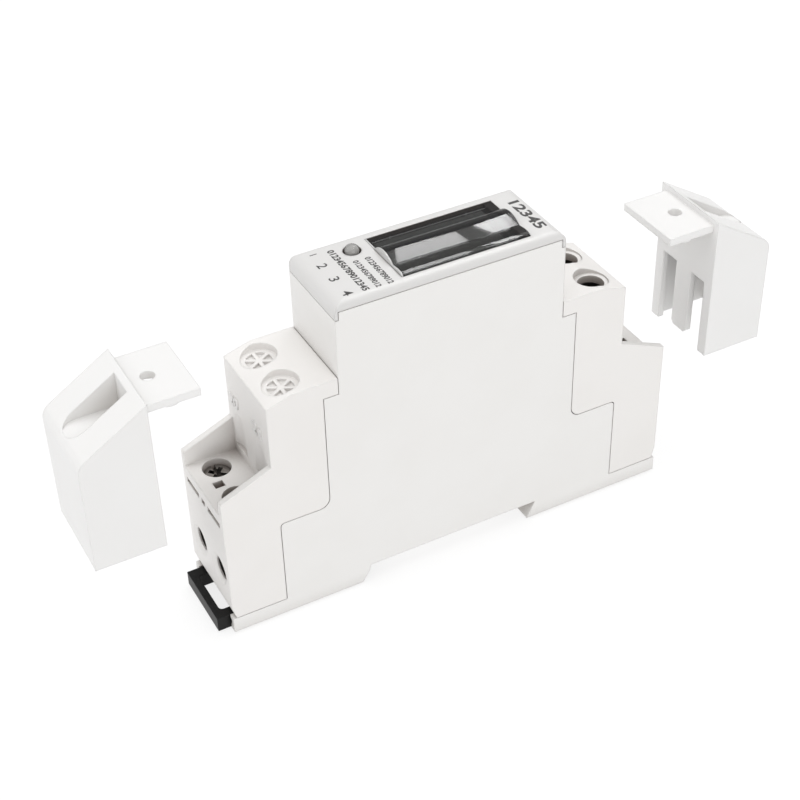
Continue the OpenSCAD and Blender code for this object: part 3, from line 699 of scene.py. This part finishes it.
@dataclass
class Housing:
    """The moulded case with its rail side and the two terminal blocks."""

    step_x: float = 36.1
    digit_height: float = 2.3
    digit_run: float = 3.7
    digit_rise: float = 0.26
    left_digits: tuple[tuple[str, float, float], ...] = (("20", 7.6, 38.6), ("21", -2.0, 38.9))
    right_digits: tuple[tuple[str, float, float], ...] = (("22", 3.2, 38.7), ("23", -6.4, 38.7))
    end_x: float = 46.0
    entry: tuple[float, float] = (4.6, 12.3)
    entry_depths: tuple[float, float] = (0.85, 1.55)
    pulse_hole: tuple[float, float] = (31.3, 5.0)
    pulse_heights: tuple[float, float] = (42.4, 46.1)
    clamp_y: float = 4.4
    # Fit of the dark collars that paint the shade inside the holes.
    shade_collar_gap: float = 0.02
    shade_collar_wall: float = 0.16

    def dress(self) -> None:
        """Dress the moulded case and blocks."""
        dress_node("main_case", BODY)
        dress_node("left_terminal_block", LEFT_BLOCK)
        dress_node("right_terminal_block", BLOCK)

    def build_shade_collar(self, name: str, wide: float, span: tuple[float, float], place: Vector, turn: Matrix) -> None:
        """Line a hole with a thin dark collar, which paints the shade deep inside the hole.

        Args:
            name: The piece's name.
            wide: The hole's diameter in millimetres.
            span: Where the collar starts and ends along the hole, in millimetres.
            place: The hole's mouth in metres.
            turn: The turn that brings the Z axis along the hole.
        """
        outer = (wide / 2 - self.shade_collar_gap) * MM
        inner = outer - self.shade_collar_wall * MM
        low, high = (height * MM for height in span)
        mesh = bmesh.new()
        lathe(mesh, [(inner, low), (outer, low), (outer, high), (inner, high), (inner, low)], Vector(), 32)
        bmesh.ops.remove_doubles(mesh, verts=mesh.verts, dist=1e-7)
        for vert in mesh.verts:
            vert.co = place + turn @ vert.co
        add_piece(name, mesh, SHADE_COLLAR, Body.HOUSING, 30.0)

    def build(self) -> None:
        """Raise the terminal numbers from the step faces, and line the holes with dark collars that paint the
        shade inside them.
        """
        for side, numbers in ((-1, self.left_digits), (1, self.right_digits)):
            for text, y, z in numbers:
                Digits(f"terminal_number_{text}", text, (side * (self.step_x - 0.02), y, z), self.digit_height,
                       Vector((0, side, 0)), Vector((0, 0, 1)), self.digit_rise, 0.035, RAISED, "block_plastic",
                       self.digit_run).build()
        # Dark collars paint the shade inside the wire entries and the pulse wells.
        for end in (-1, 1):
            for y in (-self.clamp_y, self.clamp_y):
                wide, high = self.entry
                self.build_shade_collar(f"entry_shade_collar_{'left' if end < 0 else 'right'}_{'near' if y < 0 else 'far'}",
                                  wide, self.entry_depths, millimetres(end * self.end_x, y, high),
                                  Matrix.Rotation(math.radians(-90 * end), 3, "Y"))
        for y in (-self.clamp_y, self.clamp_y):
            x, wide = self.pulse_hole
            self.build_shade_collar(f"pulse_shade_collar_{'near' if y < 0 else 'far'}", wide, self.pulse_heights,
                              millimetres(x, y, 0.0), Matrix.Identity(3))


@dataclass
class FrontCap:
    """The white front cap with its printed plain numbers and the pulse light."""

    top: float = 64.0
    ink: float = 0.015
    light: Point2 = (-12.5, 4.4)
    light_radius: float = 1.42
    light_rise: float = 1.2
    lamp_share: float = 0.86
    rows: tuple[tuple[str, float, float, float, float, float], ...] = (
        ("12345", 18.55, 5.0, 2.05, 10.8, 0.03),
        ("0123456789012", -11.75, 1.25, 1.1, 9.0, 0.03),
        ("0123456789012", -14.0, 1.3, 1.05, 9.0, 0.03),
        ("0123456789012345", -16.4, 6.3, 1.25, 13.9, 0.035),
        ("1", -19.5, 7.0, 1.3, 0.6, 0.0),
        ("2", -19.9, 3.3, 1.8, 1.3, 0.01),
        ("3", -19.9, -1.2, 1.8, 1.3, 0.01),
        ("4", -19.9, -6.0, 1.8, 1.4, 0.01))

    def dress(self) -> None:
        """Dress the cap and the light."""
        dress_node("front_cap", CAP)
        dress_node("pulse_light", DOME)

    def build_light(self) -> None:
        """Build the clear dome of the pulse light with the lamp body inside."""
        low = -4.0 * MM
        arc = [math.radians(90 * i / 10) for i in range(11)]
        dome = [(0, low), (self.light_radius * MM, low)] + [
            (self.light_radius * MM * math.cos(t), self.light_rise * MM * math.sin(t)) for t in arc[:-1]]
        mesh = bmesh.new()
        lathe(mesh, dome + [(0, self.light_rise * MM)], millimetres(*self.light, self.top), 40)
        lens = add_piece("pulse_dome", mesh, DOME, Body.HOUSING, 50.0)
        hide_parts("pulse_light")
        mesh = bmesh.new()
        core, tip = self.lamp_share * self.light_radius * MM, self.lamp_share * self.light_rise * MM
        lathe(mesh, [(0, low * 0.9), (core, low * 0.9)] + [
            (core * math.cos(t), tip * math.sin(t)) for t in arc[:-1]] + [(0, tip)],
            millimetres(*self.light, self.top), 32)
        add_piece("pulse_lamp", mesh, LIGHT_CORE, Body.HOUSING, 50.0)

    def build(self) -> None:
        """Build the light and print the plain numbers."""
        self.build_light()
        for number, (text, x, y, height, run, bold) in enumerate(self.rows):
            Digits(f"cap_number_{number}", text, (x, y, self.top - 0.003), height, Vector((0, -1, 0)),
                   Vector((1, 0, 0)), self.ink, bold, INK, "cap_plastic", run).build()


@dataclass
class DisplayWindow:
    """The smoked lens, the display under it, and its frame."""

    x_from: float = -8.95
    x_to: float = 16.25
    low: float = 62.3
    plate: float = 63.95
    far_y: float = 6.45
    crown_foot: Point2 = (3.1, 63.95)
    valley: Point2 = (-3.45, 64.25)
    shoulder: Point2 = (-5.2, 64.52)
    brow: Point2 = (-6.3, 64.49)
    near_foot: Point2 = (-7.05, 63.95)
    crown_bulge: float = 1.24
    bead_bulge: float = 0.08
    bead_blend: float = 0.08
    wall: float = 0.45
    end_wall: float = 1.6
    left_end_length: float = 0.3
    panel_top: float = 61.0
    digit_x: tuple[float, ...] = (-5.6, -2.3, 1.0, 4.3, 7.6, 11.4)
    studs: tuple[Point2, ...] = ((-4.4, 5.8), (10.9, 5.8))
    bars: tuple[float, ...] = (-6.2, -1.1, 3.9, 7.4, 11.9)

    def lens_curve(self) -> list[Point2]:
        """Give the upper outline of the lens, from the far side to the near side.

        Returns:
            The points as Y and Z in millimetres.
        """
        crown = arc_between(self.crown_foot, self.valley, self.crown_bulge, 28)
        edge = arc_between(self.brow, self.near_foot, self.bead_bulge, 8)
        flat = [tuple(a + (b - a) * share for a, b in zip(self.shoulder, self.brow))
                for share in (0.0, self.bead_blend, 1.0 - self.bead_blend)]
        return [(self.far_y, self.plate), *crown, *flat, *edge]

    def build_lens(self) -> None:
        """Build the hollow lens, which stands for the solid one of the CAD."""
        outer = self.lens_curve()
        inner = [(max(self.near_foot[0] + self.wall, min(self.far_y - self.wall, y)), z - self.wall)
                 for y, z in outer]
        mesh = bmesh.new()

        def ring(x: float, curve: list[Point2]) -> list[bmesh.types.BMVert]:
            """Make the corners of one cross-section, with its two feet."""
            points = [(curve[0][0], self.low), *curve, (curve[-1][0], self.low)]
            return [mesh.verts.new(millimetres(x, y, z)) for y, z in points]

        shells = []
        for curve, x_from, x_to in ((outer, self.x_from + self.left_end_length, self.x_to),
                                    (inner, self.x_from + self.wall, self.x_to - self.end_wall)):
            first, last = ring(x_from, curve), ring(x_to, curve)
            for i in range(len(first) - 1):
                mesh.faces.new((first[i], first[i + 1], last[i + 1], last[i]))
            mesh.faces.new(first)
            mesh.faces.new(last)
            shells.append((first, last))
        (a, b), (c, d) = shells
        for one, two, three, four in ((a[0], b[0], d[0], c[0]), (b[0], b[-1], d[-1], d[0]),
                                      (b[-1], a[-1], c[-1], d[-1]), (a[-1], a[0], c[0], c[-1])):
            mesh.faces.new((one, two, three, four))
        lens = add_piece("window_lens", mesh, WINDOW, Body.HOUSING, 25.0)
        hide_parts("display_window")

    def build_end(self, name: str, finish: Finish, x_from: float, x_to: float, inset: float) -> None:
        """Build a piece that fills one end of the lens, with the lens's own outline.

        Args:
            name: The piece's name.
            finish: The piece's finish.
            x_from: Where it starts along the housing.
            x_to: Where it ends.
            inset: How far it lies inside the outline.
        """
        mesh = bmesh.new()
        sides = (self.far_y - inset, self.near_foot[0] + inset)
        curve = [(min(sides[0], max(sides[1], y)), z - inset) for y, z in self.lens_curve()]
        outline = [(sides[0], self.low), *curve, (sides[1], self.low)]
        first, last = ([mesh.verts.new(millimetres(x, y, z)) for y, z in outline] for x in (x_from, x_to))
        for i in range(-1, len(first) - 1):
            mesh.faces.new((first[i], first[i + 1], last[i + 1], last[i]))
        mesh.faces.new(first)
        mesh.faces.new(last)
        bmesh.ops.remove_doubles(mesh, verts=mesh.verts, dist=1e-6)
        add_piece(name, mesh, finish, Body.HOUSING, 25.0)

    def build_frame(self) -> None:
        """Build the black frame over the display's edge, and the rim under the flat of the lens."""
        mesh = bmesh.new()
        top, thick = self.panel_top + 0.42, 0.36
        for x, y, length, width in ((3.65, -5.55, 24.6, 2.2), (3.65, 5.45, 24.6, 1.4),
                                    (-7.9, -0.2, 1.6, 9.9), (15.1, -0.2, 1.7, 9.9)):
            rounded_slab(mesh, millimetres(x, y, top - thick / 2), millimetres(length, width, thick), 0.12 * MM)
        add_piece("display_frame", mesh, BEZEL, Body.HOUSING)
        self.build_rim()

    def build_rim(self) -> None:
        """Build what shows just under the flat of the lens: a bright step that paints the light line along the
        frame's edge, a paler band, and two studs.
        """
        under = self.plate - self.wall - 0.03
        mesh = bmesh.new()
        # Painted highlight: a thin white strip stands in for the light line along the frame's step.
        rounded_slab(mesh, millimetres(3.65, 5.62, under - 0.1), millimetres(23.4, 0.12, 0.2), 0.03 * MM, 1)
        add_piece("rim_step", mesh, STEP, Body.HOUSING)
        mesh = bmesh.new()
        rounded_slab(mesh, millimetres(2.95, 4.5, under - 0.25), millimetres(21.6, 1.8, 0.2), 0.05 * MM, 1)
        for x in self.bars:
            rounded_slab(mesh, millimetres(x, 4.5, under - 0.12), millimetres(0.12, 1.7, 0.1), 0.03 * MM, 1)
        add_piece("rim_band", mesh, RIM, Body.HOUSING)
        mesh = bmesh.new()
        for x, y in self.studs:
            lathe(mesh, [(0, -0.5 * MM), (0.17 * MM, -0.5 * MM), (0.17 * MM, -0.12 * MM), (0.1 * MM, -0.03 * MM),
                         (0, 0)], millimetres(x, y, under), 20)
        add_piece("lens_studs", mesh, STEP, Body.HOUSING)

    def build_segments(self) -> None:
        """Build the bars of the unlit seven-bar figures on the display."""
        mesh = bmesh.new()
        high, wide, bar, thin = 5.6, 2.5, 0.42, 0.05
        for x in self.digit_x:
            parts = [(0, s * high / 2, wide - bar - 0.12, bar) for s in (-1, 0, 1)]
            parts += [(s * (wide - bar) / 2, t * high / 4, bar, high / 2 - bar - 0.12)
                      for s in (-1, 1) for t in (-1, 1)]
            for dx, dy, length, width in parts:
                rounded_slab(mesh, millimetres(x + dx, 0.4 + dy, self.panel_top + thin / 2 + 0.01),
                             millimetres(length, width, thin), 0.02 * MM, 1)
        add_piece("display_figures", mesh, SEGMENT, Body.HOUSING, 20.0)

    def dress(self) -> None:
        """Dress the display under the lens."""
        dress_node("display_panel", PANEL)
        dress_node("panel_light_box", LIGHT_BOX)
        dress_node("display_window", WINDOW)

    def build(self) -> None:
        """Build the lens and what shows through it."""
        self.build_lens()
        # The left end is painted light grey as the reflection of the white cap.
        self.build_end("window_left_end", END_REFLECTION_GREY, self.x_from, self.x_from + self.left_end_length - 0.02, 0.0)
        self.build_end("window_right_end", WINDOW_END, self.x_to - self.end_wall + 0.05, self.x_to - 0.06, 0.06)
        self.build_frame()
        self.build_segments()


@dataclass
class MovingPieces:
    """The covers, the rail clip, and the screws and cages of the clamps."""

    clamps: tuple[str, ...] = ("left_far", "left_near", "right_far", "right_near", "pulse_far", "pulse_near")

    def dress(self) -> None:
        """Dress every moving CAD node."""
        dress_node("left_cover", COVER)
        dress_node("right_cover", COVER)
        dress_node("rail_clip", CLIP)
        for clamp in self.clamps:
            dress_node(clamp + "_screw", SCREW)
            dress_node(clamp + "_cage", CAGE)


@dataclass
class Electronics:
    """The sealed inner pieces: bars, boards and board parts."""

    finishes: dict[str, Finish] = field(default_factory=lambda: {
        "neutral_bar": BAR, "live_bar_in": BAR, "live_bar_out": BAR, "live_shunt": SHUNT,
        "pulse_contacts": BAR, "main_board": BOARD, "display_board": BOARD, "film_capacitor": FILM,
        "smoothing_capacitor": SLEEVE, "varistor": VARISTOR, "meter_chip": CHIP,
        "pulse_coupler": COUPLER, "board_header": CHIP})

    def dress(self) -> None:
        """Dress the inner pieces."""
        for node, finish in self.finishes.items():
            dress_node(node, finish)


@dataclass(frozen=True)
class SoftBox:
    """One soft light of the studio."""

    name: str
    place: tuple[float, float, float]
    aim: tuple[float, float, float]
    size: tuple[float, float]
    power: float

    def build(self) -> None:
        """Add the light."""
        data = bpy.data.lights.new(self.name, "AREA")
        data.shape = "RECTANGLE"
        data.size, data.size_y = self.size
        data.energy = self.power
        obj = bpy.data.objects.new(self.name, data)
        bpy.context.scene.collection.objects.link(obj)
        obj.location = self.place
        way = Vector(self.aim) - Vector(self.place)
        obj.rotation_euler = way.to_track_quat("-Z", "Y").to_euler()


@dataclass
class ReflectorCard:
    """A glowing card that only mirrors see, placed so that the lens's crown mirrors it as the photo shows."""

    name: str
    corners: tuple[Point2, Point2, Point2, Point2]
    glow: float
    eye: Vector
    lens: DisplayWindow
    reach: float = 0.6
    steps: int = 10

    def mirrored(self, x: float, y: float) -> Vector:
        """Give the place that the camera sees mirrored at a place on the crown.

        Args:
            x: The place along the lens in millimetres.
            y: The place across it in millimetres.

        Returns:
            The mirrored place in metres.
        """
        foot, valley = Vector(self.lens.crown_foot), Vector(self.lens.valley)
        half, bulge = (foot - valley).length / 2, self.lens.crown_bulge
        radius = (half * half + bulge * bulge) / (2 * bulge)
        across = (foot - valley).normalized()
        centre = (foot + valley) / 2 - Vector((-across.y, across.x)) * (radius - bulge)
        z = centre.y + math.sqrt(radius ** 2 - (y - centre.x) ** 2)
        normal = Vector((0, y - centre.x, z - centre.y)).normalized()
        view = (self.eye - millimetres(x, y, z)).normalized()
        return millimetres(x, y, z) + (2 * normal.dot(view) * normal - view) * self.reach

    def build(self) -> None:
        """Build the card and hide it from all but mirrored rays."""
        mesh = bmesh.new()
        far_left, far_right, near_right, near_left = (Vector(corner) for corner in self.corners)
        rows = []
        for i in range(self.steps + 1):
            left = far_left.lerp(near_left, i / self.steps)
            right = far_right.lerp(near_right, i / self.steps)
            rows.append([mesh.verts.new(self.mirrored(*left.lerp(right, j / self.steps)))
                         for j in range(self.steps + 1)])
        for low, high in zip(rows, rows[1:]):
            for j in range(self.steps):
                mesh.faces.new((low[j], low[j + 1], high[j + 1], high[j]))
        recipe = Recipe(self.name)
        glow = recipe.node("ShaderNodeEmission", None, {"Strength": self.glow})
        recipe.tree.links.new(glow.outputs[0], recipe.output.inputs["Surface"])
        data = bpy.data.meshes.new(self.name)
        mesh.to_mesh(data)
        mesh.free()
        data.materials.append(recipe.material)
        card = bpy.data.objects.new(self.name, data)
        bpy.context.scene.collection.objects.link(card)
        for ray in ("camera", "diffuse", "transmission", "volume_scatter", "shadow"):
            setattr(card, "visible_" + ray, False)


@dataclass
class Studio:
    """Floor, light and camera of the picture."""

    floor_size: float = 16.0
    sky: float = 0.39
    lens: float = 74.175
    camera_place: tuple[float, float, float] = (-115.08, -210.58, 217.02)
    camera_turn: tuple[float, float, float] = (52.0308, 1.3105, -28.3318)
    lights: tuple[SoftBox, ...] = (
        SoftBox("overhead_box", (0.0, 0.1, 0.9), (0.0, 0.0, 0.03), (1.2, 1.2), 5.3),
        SoftBox("left_box", (-0.8, 0.2, 0.6), (0.0, 0.0, 0.03), (0.8, 0.8), 2.9),
        SoftBox("right_box", (0.8, 0.2, 0.6), (0.0, 0.0, 0.03), (0.8, 0.8), 1.9),
        SoftBox("front_box", (-0.1, -0.9, 0.5), (0.0, 0.0, 0.03), (0.8, 0.8), 3.7))
    cards: tuple[tuple[str, tuple[Point2, Point2, Point2, Point2], float], ...] = (
        ("left_card", ((-6.9, -0.62), (4.6, -1.05), (5.8, -3.3), (-8.0, -3.3)), 11.0),
        ("right_card", ((8.2, -0.9), (15.0, -0.62), (15.6, -3.3), (10.6, -3.3)), 17.0))

    def build_floor(self) -> None:
        """Lay the floor."""
        mesh = bmesh.new()
        bmesh.ops.create_grid(mesh, x_segments=4, y_segments=4, size=self.floor_size / 2)
        data = bpy.data.meshes.new("floor")
        mesh.to_mesh(data)
        mesh.free()
        data.materials.append(finish_material(StudioFloor()))
        floor = bpy.data.objects.new("floor", data)
        floor.location.z = -0.0005
        bpy.context.scene.collection.objects.link(floor)

    def build_sky(self) -> None:
        """Surround the scene with even white light."""
        world = bpy.data.worlds.new("soft_sky")
        world.use_nodes = True
        background = next(node for node in world.node_tree.nodes if node.type == "BACKGROUND")
        background.inputs["Color"].default_value = (1.0, 1.0, 1.0, 1.0)
        background.inputs["Strength"].default_value = self.sky
        bpy.context.scene.world = world
        bpy.context.scene.view_settings.view_transform = "Standard"

    def build_camera(self) -> None:
        """Set the camera at the place that was fitted to the photograph."""
        data = bpy.data.cameras.new("camera")
        data.lens = self.lens
        data.sensor_width = 36.0
        data.clip_start = 0.01
        camera = bpy.data.objects.new("camera", data)
        camera.location = millimetres(*self.camera_place)
        camera.rotation_euler = tuple(math.radians(angle) for angle in self.camera_turn)
        bpy.context.scene.collection.objects.link(camera)
        bpy.context.scene.camera = camera

    def build(self) -> None:
        """Build the whole studio."""
        self.build_camera()
        self.build_floor()
        self.build_sky()
        for light in self.lights:
            light.build()
        for name, corners, glow in self.cards:
            ReflectorCard(name, corners, glow, millimetres(*self.camera_place), DisplayWindow()).build()
        LOG.info("studio with %d lights and %d cards", len(self.lights), len(self.cards))


def main() -> None:
    """Build the studio, then dress and complete each sub-assembly."""
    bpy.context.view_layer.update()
    Studio().build()
    steps: list[tuple[str, Callable[[], None]]] = []
    for part in (Housing(), FrontCap(), DisplayWindow()):
        steps += [(type(part).__name__, part.dress), (type(part).__name__, part.build)]
    steps += [(type(part).__name__, part.dress) for part in (MovingPieces(), Electronics())]
    for label, step in steps:
        LOG.info("%s: %s", label, step.__name__)
        step()


if __name__ == "__main__":
    main()
